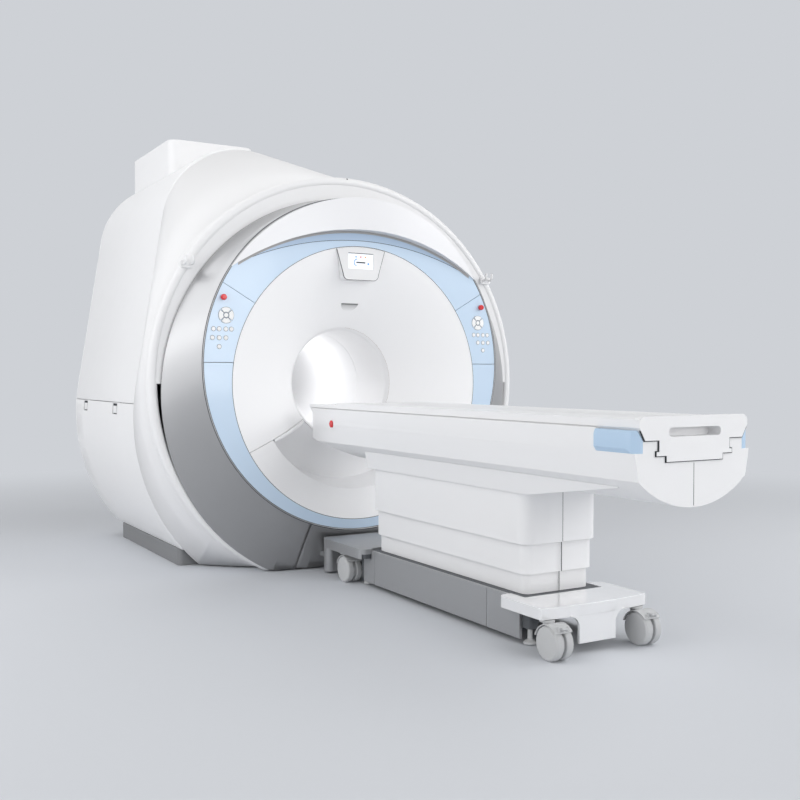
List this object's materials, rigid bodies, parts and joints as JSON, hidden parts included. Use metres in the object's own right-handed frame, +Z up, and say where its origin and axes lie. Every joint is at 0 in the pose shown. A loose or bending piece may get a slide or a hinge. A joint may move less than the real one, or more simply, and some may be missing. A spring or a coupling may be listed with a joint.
{
  "type": "mri scanner",
  "caption": "Magnetic resonance scanner with a flared round bore, ringed front covers and control panels, and a docked wheeled patient table with a lifting top and sliding cradle.",
  "frame": {"origin": "middle of the part's length and width, on the floor", "axes": "+Z up, +Y along the bore axis from the table's foot end to the back of the magnet, +X to the right when facing the bore from the table"},
  "size_m": [2.288, 4.32, 2.49],
  "materials": {
    "white_cover": "satin",
    "white_trim": "satin",
    "blue_panel": "gloss",
    "silver_paint": "metallic satin",
    "brow_paint": "metallic satin",
    "vessel_steel": "brushed",
    "coil_resin": "cast",
    "plinth_paint": "matt",
    "frame_paint": "matt",
    "base_silver": "satin",
    "rod_chrome": "polished",
    "bumper_blue": "soft",
    "stop_red": "gloss",
    "key_white": "satin",
    "screen_glass": "gloss",
    "caster_grey": "satin",
    "wheel_grey": "satin"
  },
  "bodies": {
    "magnet": {"plinth": "plinth_paint", "magnet_vessel": "vessel_steel", "cold_head": "vessel_steel", "gradient_coil": "coil_resin", "transmit_coil": "coil_resin", "bore_liner": "white_cover", "bore_bridge": "white_trim", "funnel_upper": "white_cover", "funnel_lower": "white_cover", "panel_upper": "blue_panel", "control_panel_left": "blue_panel", "control_panel_right": "blue_panel", "panel_lower": "blue_panel", "silver_ring": "silver_paint", "dock_panel": "silver_paint", "brow": "brow_paint", "front_rim": "white_cover", "upper_cover": "white_cover", "lower_cover_left": "white_cover", "lower_cover_right": "white_cover", "rear_cover": "white_cover", "turret_cover": "white_cover", "display_pod": "white_trim", "display_screen": "screen_glass", "coil_hook_left": "white_trim", "coil_hook_right": "white_trim", "keypad_left": "key_white", "keypad_right": "key_white"},
    "table_base": {"base_frame": "frame_paint", "side_panel_left": "base_silver", "side_panel_right": "base_silver", "foot_plate": "base_silver", "dock_end_cover": "base_silver", "levelling_feet": "frame_paint", "pedestal_lower": "white_trim", "lift_cylinder": "frame_paint"},
    "pedestal_stage": {"pedestal_middle": "white_trim"},
    "table_top": {"pedestal_upper": "white_trim", "lift_rod": "rod_chrome", "table_shell": "white_cover", "lower_shroud": "white_trim", "bumper_left": "bumper_blue", "bumper_right": "bumper_blue"},
    "cradle": {"cradle": "white_cover"},
    "stop_left": {"stop_button_left": "stop_red"},
    "stop_right": {"stop_button_right": "stop_red"},
    "jog_left": {"jog_pad_left": "key_white"},
    "jog_right": {"jog_pad_right": "key_white"},
    "table_stop_left": {"table_stop_left": "stop_red"},
    "table_stop_right": {"table_stop_right": "stop_red"},
    "swivel_foot_left": {"caster_foot_left": "caster_grey"},
    "roll_foot_left": {"wheels_foot_left": "wheel_grey"},
    "swivel_foot_right": {"caster_foot_right": "caster_grey"},
    "roll_foot_right": {"wheels_foot_right": "wheel_grey"},
    "swivel_head_left": {"caster_head_left": "caster_grey"},
    "roll_head_left": {"wheels_head_left": "wheel_grey"},
    "swivel_head_right": {"caster_head_right": "caster_grey"},
    "roll_head_right": {"wheels_head_right": "wheel_grey"},
    "pedal_left": {"brake_pedal_left": "frame_paint"},
    "pedal_right": {"brake_pedal_right": "frame_paint"}
  },
  "joints": [
    {"name": "table_undock", "type": "slide", "parent": "magnet", "child": "table_base", "axis": [0, -1, 0], "range_m": [0, 1]},
    {"name": "table_lift", "type": "slide", "parent": "table_base", "child": "table_top", "axis": [0, 0, 1], "range_m": [-0.185, 0]},
    {"name": "pedestal_stage_lift", "type": "slide", "parent": "table_base", "child": "pedestal_stage", "axis": [0, 0, 1], "range_m": [-0.0666, 0]},
    {"name": "cradle_travel", "type": "slide", "parent": "table_top", "child": "cradle", "axis": [0, 1, 0], "range_m": [0, 1.6]},
    {"name": "stop_left_press", "type": "slide", "parent": "magnet", "child": "stop_left", "axis": [0, 1, 0], "range_m": [0, 0.004], "stiffness_N_per_m": 2500},
    {"name": "jog_left_press", "type": "slide", "parent": "magnet", "child": "jog_left", "axis": [0, 1, 0], "range_m": [0, 0.0015], "stiffness_N_per_m": 3000},
    {"name": "table_stop_left_press", "type": "slide", "parent": "table_top", "child": "table_stop_left", "axis": [1, 0, 0], "range_m": [0, 0.004], "stiffness_N_per_m": 2500},
    {"name": "stop_right_press", "type": "slide", "parent": "magnet", "child": "stop_right", "axis": [0, 1, 0], "range_m": [0, 0.004], "stiffness_N_per_m": 2500},
    {"name": "jog_right_press", "type": "slide", "parent": "magnet", "child": "jog_right", "axis": [0, 1, 0], "range_m": [0, 0.0015], "stiffness_N_per_m": 3000},
    {"name": "table_stop_right_press", "type": "slide", "parent": "table_top", "child": "table_stop_right", "axis": [-1, 0, 0], "range_m": [0, 0.004], "stiffness_N_per_m": 2500},
    {"name": "swivel_foot_left", "type": "hinge", "parent": "table_base", "child": "swivel_foot_left", "pos_m": [-0.223, -1.638, 0.1], "axis": [0, 0, 1], "continuous": true},
    {"name": "roll_foot_left", "type": "hinge", "parent": "swivel_foot_left", "child": "roll_foot_left", "pos_m": [-0.223, -1.683, 0.066], "axis": [1, 0, 0], "continuous": true},
    {"name": "swivel_foot_right", "type": "hinge", "parent": "table_base", "child": "swivel_foot_right", "pos_m": [0.223, -1.638, 0.1], "axis": [0, 0, 1], "continuous": true},
    {"name": "roll_foot_right", "type": "hinge", "parent": "swivel_foot_right", "child": "roll_foot_right", "pos_m": [0.223, -1.683, 0.066], "axis": [1, 0, 0], "continuous": true},
    {"name": "swivel_head_left", "type": "hinge", "parent": "table_base", "child": "swivel_head_left", "pos_m": [-0.223, 0.0225, 0.1], "axis": [0, 0, 1], "continuous": true},
    {"name": "roll_head_left", "type": "hinge", "parent": "swivel_head_left", "child": "roll_head_left", "pos_m": [-0.223, -0.0225, 0.066], "axis": [1, 0, 0], "continuous": true},
    {"name": "swivel_head_right", "type": "hinge", "parent": "table_base", "child": "swivel_head_right", "pos_m": [0.223, 0.0225, 0.1], "axis": [0, 0, 1], "continuous": true},
    {"name": "roll_head_right", "type": "hinge", "parent": "swivel_head_right", "child": "roll_head_right", "pos_m": [0.223, -0.0225, 0.066], "axis": [1, 0, 0], "continuous": true},
    {"name": "brake_left", "type": "hinge", "parent": "swivel_foot_left", "child": "pedal_left", "pos_m": [-0.223, -1.731, 0.132], "axis": [1, 0, 0], "range_deg": [0, 15]},
    {"name": "brake_right", "type": "hinge", "parent": "swivel_foot_right", "child": "pedal_right", "pos_m": [0.223, -1.731, 0.132], "axis": [1, 0, 0], "range_deg": [0, 15]}
  ],
  "couplings": [
    {"joint": "pedestal_stage_lift", "follows": "table_lift", "ratio": 0.36}
  ]
}
